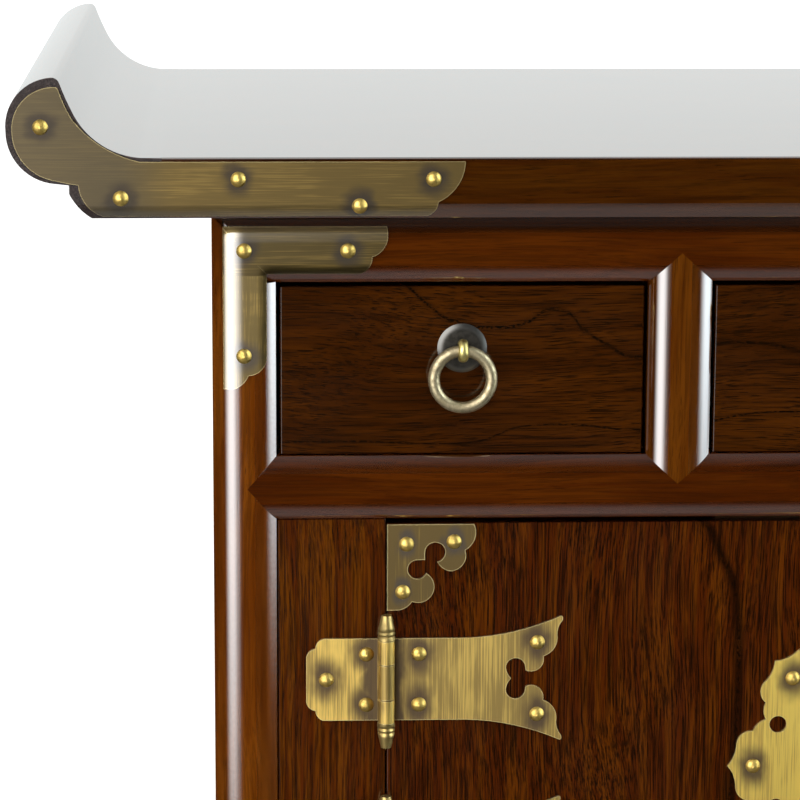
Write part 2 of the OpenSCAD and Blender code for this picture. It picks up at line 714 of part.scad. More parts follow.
module drawer_partitions() {
    y = front_y + rail_t;
    color(inner_wood) for (x = [-divider_x, divider_x])
        translate([x - partition_t / 2, y, drawer_z])
            cube([partition_t, body_d - 2 * rail_t, board_z - drawer_z]);
}
module drawer_guides() {
    y = front_y + post_w + slack;
    l = back_y - post_w - slack - y;
    beside = (post_w - partition_t) / 2 - slack;
    outer = post_w - rail_t - slack;
    color(inner_wood) both_sides() for (g = [
        [-divider_x - post_w / 2, beside], [-divider_x + partition_t / 2 + slack, beside],
        [-side_x + rail_t + slack, outer]
    ]) translate([g[0], y, drawer_z]) cube([g[1], l, guide_h]);
}
module door_stop() {
    h = rail_h - shelf_t + door_gap + stop_lap;
    color(inner_wood) translate([-stop_l / 2, front_y + rail_t + slack, drawer_z - shelf_t - h])
        cube([stop_l, stop_t, h]);
}

// Corner brackets, bent over the rounded faces of post and top rail
module corner_bracket() {
    g = plate_t;
    below = [[-past, board_z], [-past, 0], [post_w, 0], [post_w, top_rail_z], [0, board_z]];
    above = [
        [0, board_z], [post_w, top_rail_z], [post_w, top_rail_z - past],
        [side_x, top_rail_z - past], [side_x, board_z]
    ];
    color(antique_brass) difference() {
        intersection() {
            translate([-side_x, 0, board_z]) along_y(front_y - past, rail_t)
                polygon(bowed(bracket_outline));
            at_left_front() union() {
                intersection() {
                    along_y(-past, post_w) polygon(below);
                    linear_extrude(board_z) difference() {
                        polygon(post_plan(g));
                        polygon(post_plan());
                    }
                }
                intersection() {
                    along_y(-past, post_w) polygon(above);
                    translate([0, 0, top_rail_z]) along_x(-past, side_x) difference() {
                        polygon(swapped(member_cover(top_rail_h, rail_t, g)));
                        polygon(swapped(member(top_rail_h, rail_t)));
                    }
                }
            }
        }
        at_bracket_tacks() tack_hole();
    }
}

// Hinges
leaf_face_y = door_face_y - plate_t;
module at_hinges() for (z = hinge_zs) translate([pin_x, 0, z]) children();
module at_pin() translate([0, pin_y, 0]) children();
module knuckles(outer) {
    l = leaf_half - knuckle_half - knuckle_gap;
    at_pin() {
        if (outer) {
            for (z = [-leaf_half, knuckle_half + knuckle_gap])
                translate([0, 0, z]) cylinder(h = l, r = knuckle_r, $fn = 48);
        } else {
            translate([0, 0, -knuckle_half]) cylinder(h = 2 * knuckle_half, r = knuckle_r, $fn = 48);
        }
    }
}
// Room for the knuckles of the other leaf
module knuckle_room(outer) {
    r = knuckle_r + 0.35;
    at_pin() {
        if (outer) {
            for (s = [-1, 1])
                translate([0, 0, s > 0 ? knuckle_half : -leaf_half - past])
                    cylinder(h = leaf_half - knuckle_half + past, r = r, $fn = 48);
        } else {
            translate([0, 0, -knuckle_half - knuckle_gap])
                cylinder(h = 2 * knuckle_half + 2 * knuckle_gap, r = r, $fn = 48);
        }
    }
}
module pin_bore() {
    at_pin() translate([0, 0, -leaf_half - past])
        cylinder(h = 2 * leaf_half + 2 * past, r = pin_r + pin_play, $fn = 48);
}
module hinge_leaf(outline, tacks, outer) {
    difference() {
        union() {
            difference() {
                along_y(leaf_face_y, plate_t) polygon(bowed(outline));
                knuckle_room(!outer);
            }
            knuckles(outer);
        }
        pin_bore();
        at_tacks(tacks, leaf_face_y) tack_hole();
    }
}
function door_leaf_outline() =
    let (n = len(door_leaf_half), low = [for (i = [0 : n - 1]) door_leaf_half[n - 1 - i]])
    concat(
        door_leaf_half,
        [for (i = [0 : n - 2]) [low[i].x, -low[i].y, low[i + 1].z]]
    );
module frame_hinge_leaves() {
    color(antique_brass) both_sides() at_hinges()
        hinge_leaf(fixed_leaf_outline, fixed_leaf_tacks, true);
}
module door_hinge_leaves() {
    color(antique_brass) at_hinges() hinge_leaf(door_leaf_outline(), door_leaf_tacks, false);
}
module hinge_pins() {
    color(bright_brass) both_sides() at_hinges() at_pin() {
        translate([0, 0, -leaf_half - past]) cylinder(h = 2 * leaf_half + 2 * past, r = pin_r, $fn = 48);
        for (s = [0, 1]) mirror([0, 0, s]) translate([0, 0, leaf_half])
            rotate_extrude($fn = 48) polygon(finial_profile);
    }
}

// Doors
module door() {
    b = 0.6;
    color(door_wood) difference() {
        translate([door_x, door_face_y, door_z]) linear_extrude(door_h) polygon([
            [b, 0], [door_w - b, 0], [door_w, b], [door_w - meeting_bevel, door_t],
            [0, door_t], [0, b]
        ]);
        at_door_tacks() tack_hole();
        translate([-door_ring_x, door_face_y, lock_z]) shank_hole(door_t);
    }
}
module at_corner_plates() {
    for (s = [0, 1]) translate([door_x, 0, s * door_h + door_z]) mirror([0, 0, 1 - s]) children();
}
module door_corner_plates() {
    color(antique_brass) difference() {
        at_corner_plates() along_y(leaf_face_y, plate_t) polygon(bowed(corner_plate_outline));
        at_corner_plates() at_tacks(corner_plate_tacks, leaf_face_y) tack_hole();
    }
}
lock_outline = [
    for (k = [0 : 7], p = lock_leaf)
        [p[0] * cos(45 * k + p[1]), p[0] * sin(45 * k + p[1]), p[2]]
];
lock_tacks = [for (a = [135, 180, 225]) [lock_tack_r * cos(a), lock_tack_r * sin(a)]];
module lock_plate() {
    color(antique_brass) difference() {
        translate([0, 0, lock_z]) along_y(leaf_face_y, plate_t) difference() {
            intersection() {
                polygon(bowed(lock_outline));
                translate([-lock_r - past - lock_gap, -lock_r - past])
                    square([lock_r + past, 2 * lock_r + 2 * past]);
            }
            for (k = [0 : 7]) rotate(45 * k + 22.5) translate([lock_hole_at, 0])
                circle(lock_hole_r, $fn = 32);
        }
        translate([0, 0, lock_z]) at_tacks(lock_tacks, leaf_face_y) tack_hole();
        translate([-door_ring_x, door_face_y, lock_z]) shank_hole(door_t);
    }
}
module at_door_tacks() {
    at_hinges() at_tacks(door_leaf_tacks, leaf_face_y) children();
    at_corner_plates() at_tacks(corner_plate_tacks, leaf_face_y) children();
    translate([0, 0, lock_z]) at_tacks(lock_tacks, leaf_face_y) children();
}
module door_tacks() color(bright_brass) at_door_tacks() tack();
module carcass_tacks() {
    color(bright_brass) both_sides() {
        at_top_tacks() tack();
        at_bracket_tacks() tack();
        at_hinges() at_tacks(fixed_leaf_tacks, leaf_face_y) tack();
    }
}

// Ring pulls: x and z from the shank, y from the face that carries the rose
module shank_hole(t) {
    translate([0, t + past, 0]) rotate([90, 0, 0])
        cylinder(h = t + 2 * past + plate_t, r = shank_r + slack, $fn = 32);
}
// Rose, and staple through a wall of thickness t, with its legs clinched behind
module pull(t) {
    dome_r = (rose_r * rose_r + rose_h * rose_h) / (2 * rose_h);
    color(dark_bronze) rotate([90, 0, 0]) difference() {
        intersection() {
            translate([0, 0, rose_h - dome_r]) sphere(dome_r, $fn = 64);
            cylinder(h = rose_h, r = rose_r, $fn = 64);
        }
        translate([0, 0, -past]) cylinder(h = rose_h + 2 * past, r = shank_r + slack, $fn = 32);
        translate([0, 0, eye_reach]) eye_solid(slack);
    }
    color(bright_brass) {
        translate([0, -eye_reach, 0]) rotate([90, 0, 0]) eye_solid(0);
        rotate([90, 0, 0]) translate([0, 0, -t - leg_t])
            cylinder(h = t + leg_t + eye_reach - eye_in_r - eye_t / 2, r = shank_r, $fn = 32);
        translate([-leg_l, t + 0.2, -shank_r * 0.7]) cube([2 * leg_l, leg_t - 0.2, shank_r * 1.4]);
    }
}
leg_t = 1.4;
leg_l = 6;
// Eye of the staple round the x axis: flat inside, round outside
module eye_solid(g) {
    rotate([0, 90, 0]) rotate_extrude($fn = 64) polygon(bowed([
        [eye_in_r - g, -eye_w / 2 - g, 0], [eye_in_r + eye_t / 3, -eye_w / 2 - g, 0.55],
        [eye_in_r + eye_t / 3, eye_w / 2 + g, 0], [eye_in_r - g, eye_w / 2 + g, 0]
    ]));
}
module ring() {
    color(ring_brass) translate([0, -eye_reach, -ring_r]) rotate([90, 0, 0])
        rotate_extrude($fn = 96) translate([ring_r, 0]) circle(ring_wire_r, $fn = 32);
}
module at_door_pull() translate([-door_ring_x, leaf_face_y, lock_z]) children();
module door_pull() at_door_pull() pull(door_t + plate_t);
module door_ring() at_door_pull() ring();

// Drawers, from the left: i is -1, 0 or 1
module at_drawer(i) translate([i * (drawer_open_w + post_w), drawer_face_y, drawer_z + drawer_low_gap]) children();
module at_drawer_pull(i) translate([i * (drawer_open_w + post_w), drawer_face_y, drawer_pull_z]) children();
module drawer_front(i) {
    b = 0.8;
    color(drawer_wood) difference() {
        at_drawer(i) difference() {
            translate([-drawer_w / 2, 0, 0]) linear_extrude(drawer_front_h) polygon([
                [b, 0], [drawer_w - b, 0], [drawer_w, b], [drawer_w, drawer_front_t],
                [0, drawer_front_t], [0, b]
            ]);
            translate([-drawer_w / 2 + drawer_side_t - drawer_groove, drawer_front_t - drawer_groove, drawer_bottom_z - slack])
                cube([drawer_w - 2 * drawer_side_t + 2 * drawer_groove, drawer_groove + past, drawer_bottom_t + 2 * slack]);
        }
        at_drawer_pull(i) shank_hole(drawer_front_t);
    }
}
module drawer_box(i) {
    inner = drawer_w - 2 * drawer_side_t;
    color(inner_wood) at_drawer(i) difference() {
        translate([0, drawer_front_t, 0]) {
            for (x = [-drawer_w / 2, drawer_w / 2 - drawer_side_t])
                translate([x, 0, 0]) cube([drawer_side_t, drawer_box_d, drawer_side_h]);
            translate([-inner / 2 + slack, drawer_box_d - drawer_side_t, 0])
                cube([inner - 2 * slack, drawer_side_t, drawer_side_h]);
        }
        translate([-inner / 2 - drawer_groove - slack, drawer_front_t - past, drawer_bottom_z - slack])
            cube([inner + 2 * drawer_groove + 2 * slack, drawer_box_d - drawer_side_t + drawer_groove + past + slack, drawer_bottom_t + 2 * slack]);
    }
}
module drawer_bottom(i) {
    inner = drawer_w - 2 * drawer_side_t;
    color(inner_wood) at_drawer(i)
        translate([-inner / 2 - drawer_groove + slack, drawer_front_t - drawer_groove + slack, drawer_bottom_z])
            cube([inner + 2 * drawer_groove - 2 * slack, drawer_box_d - drawer_side_t + 2 * drawer_groove - 2 * slack, drawer_bottom_t]);
}
module drawer_pull(i) at_drawer_pull(i) pull(drawer_front_t);
module drawer_ring(i) at_drawer_pull(i) ring();

top_board();
scroll_end();  // left_scroll_end
on_right() scroll_end();  // right_scroll_end
top_plate();  // left_top_plate
on_right() top_plate();  // right_top_plate
front_post();  // front_left_post
on_right() front_post();  // front_right_post
back_post();  // back_left_post
on_right() back_post();  // back_right_post
front_top_rail();
front_middle_rail();
front_bottom_rail();
divider();  // left_divider
on_right() divider();  // right_divider
side_rails();
back_rails();
side_panels();  // left_side_panels
on_right() side_panels();  // right_side_panels
back_panels();
fixed_front_panel();  // left_front_panel
on_right() fixed_front_panel();  // right_front_panel
drawer_deck();
shelf(door_open_z);  // cupboard_floor
drawer_partitions();
drawer_guides();
door_stop();
corner_bracket();  // left_corner_bracket
on_right() corner_bracket();  // right_corner_bracket
frame_hinge_leaves();
hinge_pins();
carcass_tacks();
drawer_front(-1);  // left_drawer_front
drawer_box(-1);  // left_drawer_box
drawer_bottom(-1);  // left_drawer_bottom
drawer_pull(-1);  // left_drawer_pull
drawer_ring(-1);  // left_drawer_ring
drawer_front(0);  // middle_drawer_front
drawer_box(0);  // middle_drawer_box
drawer_bottom(0);  // middle_drawer_bottom
drawer_pull(0);  // middle_drawer_pull
drawer_ring(0);  // middle_drawer_ring
drawer_front(1);  // right_drawer_front
drawer_box(1);  // right_drawer_box
drawer_bottom(1);  // right_drawer_bottom
drawer_pull(1);  // right_drawer_pull
drawer_ring(1);  // right_drawer_ring
door();  // left_door
door_hinge_leaves();  // left_door_hinge_leaves
door_corner_plates();  // left_door_corner_plates
lock_plate();  // left_lock_plate
door_tacks();  // left_door_tacks
door_pull();  // left_door_pull
door_ring();  // left_door_ring
on_right() door();  // right_door
on_right() door_hinge_leaves();  // right_door_hinge_leaves
on_right() door_corner_plates();  // right_door_corner_plates
on_right() lock_plate();  // right_lock_plate
on_right() door_tacks();  // right_door_tacks
on_right() door_pull();  // right_door_pull
on_right() door_ring();  // right_door_ring
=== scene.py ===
import json
import math

import bmesh
import bpy
from mathutils import Matrix, Vector


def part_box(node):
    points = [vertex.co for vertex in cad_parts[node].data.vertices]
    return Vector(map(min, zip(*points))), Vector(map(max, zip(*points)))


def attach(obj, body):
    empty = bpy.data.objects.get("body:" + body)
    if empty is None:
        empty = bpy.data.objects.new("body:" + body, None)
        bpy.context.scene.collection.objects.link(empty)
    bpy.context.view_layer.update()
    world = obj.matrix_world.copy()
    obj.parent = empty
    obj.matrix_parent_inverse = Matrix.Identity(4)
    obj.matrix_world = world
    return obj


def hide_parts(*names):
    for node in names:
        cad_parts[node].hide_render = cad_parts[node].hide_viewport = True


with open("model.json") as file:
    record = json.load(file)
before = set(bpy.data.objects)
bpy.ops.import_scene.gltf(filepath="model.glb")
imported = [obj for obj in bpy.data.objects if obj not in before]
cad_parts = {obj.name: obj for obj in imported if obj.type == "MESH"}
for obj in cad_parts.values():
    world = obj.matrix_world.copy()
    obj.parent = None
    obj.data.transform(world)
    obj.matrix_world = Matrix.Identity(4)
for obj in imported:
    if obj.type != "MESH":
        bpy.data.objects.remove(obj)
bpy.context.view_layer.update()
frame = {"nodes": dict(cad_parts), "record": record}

MM = 0.001
X, Y, Z = 0, 1, 2


# Camera


def photo_camera():
    """The camera of the photograph, fitted to the edges of the object. Angles in radians."""
    place = Vector((-0.24360, -1.37907, 0.59336))
    yaw, pitch, roll = 0.0446, 0.208, -0.0043
    focal_px, image_px, sensor = 3348.81, 800, 36.0
    sy, cy, sp, cp = math.sin(yaw), math.cos(yaw), math.sin(pitch), math.cos(pitch)
    forward = Vector((sy * cp, cy * cp, -sp))
    level = Vector((cy, -sy, 0.0))
    below = forward.cross(level)
    right = level * math.cos(roll) + below * math.sin(roll)
    down = below * math.cos(roll) - level * math.sin(roll)
    camera = bpy.data.objects.new("camera", bpy.data.cameras.new("camera"))
    bpy.context.scene.collection.objects.link(camera)
    camera.data.sensor_width = sensor
    camera.data.lens = focal_px * sensor / image_px
    camera.data.clip_start, camera.data.clip_end = 0.01, 100.0
    turned = Matrix((right, -down, -forward)).transposed().to_4x4()
    camera.matrix_world = Matrix.Translation(place) @ turned
    bpy.context.scene.camera = camera


# Node trees


class Nodes:
    """A small builder of shader nodes, for a material in object coordinates or for a world."""

    def __init__(self, name, world=False):
        self.owner = (bpy.data.worlds if world else bpy.data.materials).new(name)
        self.owner.use_nodes = True
        self.tree = self.owner.node_tree
        self.tree.nodes.clear()
        output = self.add("OutputWorld" if world else "OutputMaterial")
        self.shader = self.add("Background" if world else "BsdfPrincipled")
        self.link(self.shader.outputs[0], output.inputs["Surface"])
        self.place = self.add("TexCoord").outputs["Generated" if world else "Object"]

    def add(self, kind, **values):
        node = self.tree.nodes.new("ShaderNode" + kind)
        for key, value in values.items():
            setattr(node, key, value)
        return node

    def link(self, source, target):
        self.tree.links.new(source, target)

    def put(self, socket, value):
        """Links a socket to an output, or sets it to a number or a colour."""
        if isinstance(value, bpy.types.NodeSocket):
            self.link(value, socket)
        elif isinstance(value, tuple) and socket.type == "RGBA":
            socket.default_value = (*value, 1.0)
        else:
            socket.default_value = value

    def split(self, vector):
        node = self.add("SeparateXYZ")
        self.link(vector, node.inputs[0])
        return node.outputs

    def joined(self, x, y, z):
        node = self.add("CombineXYZ")
        for socket, value in zip(node.inputs, (x, y, z)):
            self.put(socket, value)
        return node.outputs[0]

    def stretched(self, scale, shift=(0, 0, 0), place=None):
        """Object coordinates, or another place, scaled and moved for a texture."""
        node = self.add("Mapping")
        self.link(place or self.place, node.inputs["Vector"])
        node.inputs["Scale"].default_value = scale
        node.inputs["Location"].default_value = shift
        return node.outputs["Vector"]

    def noise(self, vector, scale, detail=3.0, rough=0.5, distort=0.0, output="Fac"):
        node = self.add("TexNoise")
        self.link(vector, node.inputs["Vector"])
        for name, value in (("Scale", scale), ("Detail", detail), ("Roughness", rough),
                            ("Distortion", distort)):
            node.inputs[name].default_value = value
        return node.outputs[output]

    def step(self, value, start, end, low=0.0, high=1.0):
        """A smooth step from low to high while the value goes from start to end."""
        node = self.add("MapRange", interpolation_type="SMOOTHSTEP")
        self.put(node.inputs["Value"], value)
        for name, number in (("From Min", start), ("From Max", end), ("To Min", low), ("To Max", high)):
            node.inputs[name].default_value = number
        return node.outputs["Result"]

    def math(self, operation, a, b=0.0):
        node = self.add("Math", operation=operation)
        self.put(node.inputs[0], a)
        self.put(node.inputs[1], b)
        return node.outputs["Value"]

    def total(self, *terms):
        """Sum of pairs of a value and its weight."""
        result = 0.0
        for value, weight in terms:
            node = self.add("Math", operation="MULTIPLY_ADD")
            self.put(node.inputs[0], value)
            node.inputs[1].default_value = weight
            self.put(node.inputs[2], result)
            result = node.outputs["Value"]
        return result

    def vector(self, operation, a, b=(0, 0, 0), output=0):
        node = self.add("VectorMath", operation=operation)
        self.put(node.inputs[0], a)
        self.put(node.inputs[1], b)
        return node.outputs[output]

    def drawn(self, value, points):
        """A smooth curve through points, each given as a value and a height."""
        node = self.add("FloatCurve")
        low, high = points[0][0], points[-1][0]
        base, top = min(p[1] for p in points), max(p[1] for p in points)
        node.mapping.extend = "HORIZONTAL"
        curve = node.mapping.curves[0]
        spots = [((v - low) / (high - low), (h - base) / (top - base)) for v, h in points]
        curve.points[0].location, curve.points[1].location = spots[0], spots[-1]
        for spot in spots[1:-1]:
            curve.points.new(*spot)
        node.mapping.update()
        self.put(node.inputs["Value"], self.total((value, 1 / (high - low)), (1.0, -low / (high - low))))
        return self.total((node.outputs[0], top - base), (1.0, base))

    def mix(self, factor, a, b):
        node = self.add("Mix", data_type="RGBA")
        self.put(node.inputs["Factor"], factor)
        self.put(node.inputs[6], a)
        self.put(node.inputs[7], b)
        return node.outputs[2]

    def bump(self, height, distance, strength=1.0, normal=None):
        node = self.add("Bump")
        if normal:
            self.link(normal, node.inputs["Normal"])
        self.link(height, node.inputs["Height"])
        node.inputs["Distance"].default_value = distance
        node.inputs["Strength"].default_value = strength
        return node.outputs["Normal"]

    def surface(self, **values):
        """Sets sockets of the shader by name, an underscore for each space, and gives the material."""
        for name, value in values.items():
            self.put(self.shader.inputs[name.replace("_", " ")], value)
        return self.owner


# Places on the object


def islands(mesh):
    """Points of each loose piece of a mesh."""
    home = list(range(len(mesh.vertices)))

    def root(i):
        while home[i] != i:
            home[i] = home[home[i]]
            i = home[i]
        return i

    for edge in mesh.edges:
        home[root(edge.vertices[0])] = root(edge.vertices[1])
    groups = {}
    for vertex in mesh.vertices:
        groups.setdefault(root(vertex.index), []).append(vertex.co)
    return groups.values()


def folded_boxes(node, mirror_z):
    """Extents in x and z of each loose piece of a node, folded left on right and top on bottom."""
    boxes = set()
    for island in islands(frame["nodes"][node].data):
        xs = [abs(v.x) for v in island]
        low, high = min(v.z for v in island), max(v.z for v in island)
        if mirror_z:
            middle = abs(sum(v.z for v in island) / len(island) - mirror_z)
            low, high = middle - (high - low) / 2, middle + (high - low) / 2
        boxes.add(tuple(round(v, 4) for v in (min(xs), max(xs), low, high)))
    return sorted(boxes)


def tack_places(tacks, plate, mirror_z):
    """Where the tacks on a plate sit."""
    spots = [((x0 + x1) / 2, (z0 + z1) / 2) for x0, x1, z0, z1 in folded_boxes(tacks, mirror_z)]
    sheets = folded_boxes(plate, mirror_z)
    return [(x, z) for x, z in spots if any(x0 < x < x1 and z0 < z < z1 for x0, x1, z0, z1 in sheets)]


LOCK_Z = (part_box("left_lock_plate")[0].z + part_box("left_lock_plate")[1].z) / 2
PIN = folded_boxes("hinge_pins", LOCK_Z)[0]
PIN_X, KNUCKLE_R = (PIN[0] + PIN[1]) / 2, (PIN[1] - PIN[0]) / 2


# Wood. Colours are linear, here and below

COAT_IOR = 2.6
VARNISH_IOR = 1.45


def along(axis, lengthwise, across=1.0):
    """Scale of a texture that is drawn out along one axis."""
    scale = [across] * 3
    scale[axis] = lengthwise
    return tuple(scale)


def varnished_wood(name, grain, dark, middle, light, pores, strength=0.6, figure=0.004, rough=0.075,
                   shift=0.0, peel=0.1, fine=0.45, lines=(), shade_under_z=None, polish=False):
    """Stained wood under a hard gloss varnish, with its grain along one axis.

    pores and strength: how many dark pores there are, and how dark
    figure: about how far the grain wanders, in metres
    fine: share of narrow stripes against broad ones
    shift: moves the pattern, so that woods with one grain direction differ
    peel: height of the ripples in the varnish
    lines: long dark lines of pores, as DRAWER_LINES gives them
    shade_under_z: height of the underside of the top, just below which the wood is darkened by painted
    shade
    polish: a gloss that is thin on upright flats, in place of an even one
    """
    n = Nodes(name)
    moved = (shift, shift * 0.7, shift * 1.3)
    drift = n.noise(n.stretched(along(grain, 0.5), moved), 16.0, 1.0, 0.4)
    bend = n.total((drift, figure * 4.0), (1.0, -figure * 2.0))
    flow = n.vector("ADD", n.place, n.joined(bend, bend, bend))
    cloud = n.noise(n.stretched(along(grain, 0.22), moved, flow), 40.0, 3.0, 0.55, 0.3)
    streak = n.noise(n.stretched(along(grain, 0.05), moved, flow), 300.0, 4.0, 0.6, 0.2)
    dash = n.noise(n.stretched(along(grain, 0.024), moved, flow), 2500.0, 1.0, 0.5)
    thin = n.noise(n.stretched(along(grain, 0.02), moved, flow), 600.0 + 800.0 * fine, 4.0, 0.75)
    tone = n.total((streak, 0.2 + 0.7 * fine), (cloud, 0.8 - 0.7 * fine))
    colour = n.mix(n.step(tone, 0.42, 0.60), middle, light)
    colour = n.mix(n.step(thin, 0.38, 0.58, fine, 0.0), colour, dark)
    crowd = n.step(cloud, 0.3, 0.6, pores - 0.04, pores)
    hole = n.math("MULTIPLY", n.step(n.math("SUBTRACT", dash, crowd), 0.04, -0.06), strength)
    if lines:
        hole = pore_lines(n, grain, moved, lines, hole)
    colour = n.mix(hole, colour, dark)
    # Painted shade: the wood just below the underside of the top is darkened, where the overhang shades
    # it
    if shade_under_z:
        shade_and_stain = n.step(n.split(n.place)[Z], shade_under_z - 9.0 * MM, shade_under_z - 3.5 * MM)
        colour = n.mix(n.math("MULTIPLY", shade_and_stain, 0.8), colour, dark)
    gloss = n.noise(n.stretched(along(grain, 0.3), moved), 60.0, 3.0, 0.6)
    varnish = n.noise(n.stretched(along(grain, 0.7), moved), 800.0, 1.0, 0.5)
    relief = n.bump(n.total((hole, -0.7), (streak, 0.8), (varnish, peel)), 0.00002, 0.5)
    if polish:
        return n.surface(Base_Color=colour, Roughness=0.5, Specular_IOR_Level=0.0, Normal=relief,
                         Coat_Weight=polish_weight(n), Coat_IOR=COAT_IOR, Coat_Roughness=rough,
                         Coat_Normal=relief)
    uneven = n.step(gloss, 0.3, 0.75, rough * 0.8, rough * 1.3)
    return n.surface(Base_Color=colour, Roughness=uneven, IOR=VARNISH_IOR, Normal=relief)


def pore_lines(n, grain, moved, lines, hole):
    """Adds long drawn lines to the mask of dark pores, mirrored left and right on upright wood."""
    grit = n.noise(n.stretched(along(grain, 0.4), moved), 1500.0, 2.0, 0.6)
    broken = n.step(grit, 0.58, 0.46, 0.3, 1.0)
    place = n.split(n.place)
    run, side = place[X], place[Z]
    if grain == Z:
        run, side = place[Z], n.math("ABSOLUTE", place[X])
    for points, width, depth in lines:
        away = n.math("ABSOLUTE", n.math("SUBTRACT", side, n.drawn(run, points)))
        core = n.math("MULTIPLY", n.step(away, width * MM, width * 0.4 * MM), broken)
        band = n.step(away, width * 2.6 * MM, width * 0.6 * MM, 0.0, depth)
        hole = n.math("MAXIMUM", hole, n.math("MAXIMUM", core, band))
    return hole


def polish_weight(n, normal=None):
    """Weight of the gloss: full on rounded edges and level faces, and thin on upright flats."""
    normal = normal or n.add("NewGeometry").outputs["Normal"]
    x, y, z = [n.math("MULTIPLY", part, part) for part in n.split(normal)]
    lean = n.math("MINIMUM", n.total((x, 1.0), (z, 1.0)), n.total((y, 1.0), (z, 1.0)))
    return n.step(lean, 0.0001, 0.008, 0.15, 1.0)


def end_grain(name):
    """Varnished wood cut across its fibres, rough and speckled."""
    n = Nodes(name)
    speck = n.noise(n.place, 1900.0, 3.0, 0.7)
    cloud = n.noise(n.place, 240.0, 3.0, 0.6)
    colour = n.mix(n.step(speck, 0.42, 0.62), (0.012, 0.006, 0.005), (0.060, 0.038, 0.034))
    colour = n.mix(n.step(cloud, 0.4, 0.7), colour, (0.020, 0.007, 0.004))
    return n.surface(Base_Color=colour, Roughness=0.42, Normal=n.bump(speck, 0.0002, 0.7))


def plain_wood(name, grain, dark, light):
    """Unfinished inner wood."""
    n = Nodes(name)
    streak = n.noise(n.stretched(along(grain, 0.03)), 420.0, 5.0, 0.65, 0.4)
    fibre = n.noise(n.stretched(along(grain, 0.06)), 1200.0, 2.0, 0.5)
    colour = n.mix(n.step(streak, 0.32, 0.66), dark, light)
    colour = n.mix(n.step(fibre, 0.6, 0.3, 0.0, 0.35), colour, dark)
    return n.surface(Base_Color=colour, Roughness=n.step(fibre, 0.3, 0.7, 0.75, 0.55),
                     Normal=n.bump(fibre, 0.00012, 0.5))


# Brass

# Colour of the painted highlight along the sharp edges of brass
EDGE_HIGHLIGHT = (1.0, 0.82, 0.40)
DULL_BRASS = (0.157, 0.134, 0.0943)

# Sheet brass lies a little off true, as hand-cut sheet does: the slope of its normal along X
SHEET_LEAN = -0.06

# How a corner bracket leans as it wraps the post: distance from the outer side in mm, slope
POST_WRAP = ((13.2, 0.0), (11.2, 0.04), (9.7, 0.12), (8.4, 0.20), (5.6, 0.45), (4.2, 0.75), (2.8, 1.0),
             (0.0, 1.3))


def folded_place(n, brushed, fold_z):
    """Position on a plate, folded on its mirror lines and squeezed, together with that squeeze."""
    x, _, z = n.split(n.place)
    height = n.math("ABSOLUTE", n.math("SUBTRACT", z, fold_z)) if fold_z else z
    squeeze = (0.8, 0.0, 0.8) if brushed == X else (1.0, 0.0, 0.7)
    folded = n.vector("MULTIPLY", n.joined(n.math("ABSOLUTE", x), 0.0, height), squeeze)
    drift = n.noise(n.stretched(along(brushed, 0.5)), 200.0, 2.0, 0.5, output="Color")
    drift = n.vector("MULTIPLY", n.vector("SUBTRACT", drift, (0.5, 0.5, 0.5)), (0.006, 0.0, 0.003))
    return n.vector("ADD", folded, drift), squeeze


def tack_halo(n, folded, squeeze, spots, spread):
    """1 beside a tack, falling to 0 at the spread in mm."""
    nearest = 1.0
    for across, up in spots:
        spot = (across * squeeze[X], 0.0, up * squeeze[Z])
        nearest = n.math("MINIMUM", n.vector("DISTANCE", folded, spot, output="Value"), nearest)
    return n.step(nearest, 2.4 * MM, spread * MM, 1.0, 0.0)


def knuckle_patina_and_shade(n, folded, reach):
    """1 on a leaf beside the hinge knuckle, falling to 0 at the reach in mm, and 0 on the knuckle:
    patina, with the knuckle's shadow painted in.
    """
    x = n.split(n.place)[X]
    beside = n.math("ABSOLUTE", n.math("SUBTRACT", n.split(folded)[X], PIN_X))
    from_pin = n.math("ABSOLUTE", n.math("SUBTRACT", n.math("ABSOLUTE", x), PIN_X))
    leaf = n.step(from_pin, KNUCKLE_R - 0.4 * MM, KNUCKLE_R)
    return n.math("MULTIPLY", n.step(beside, reach * MM, reach * 0.55 * MM), leaf)


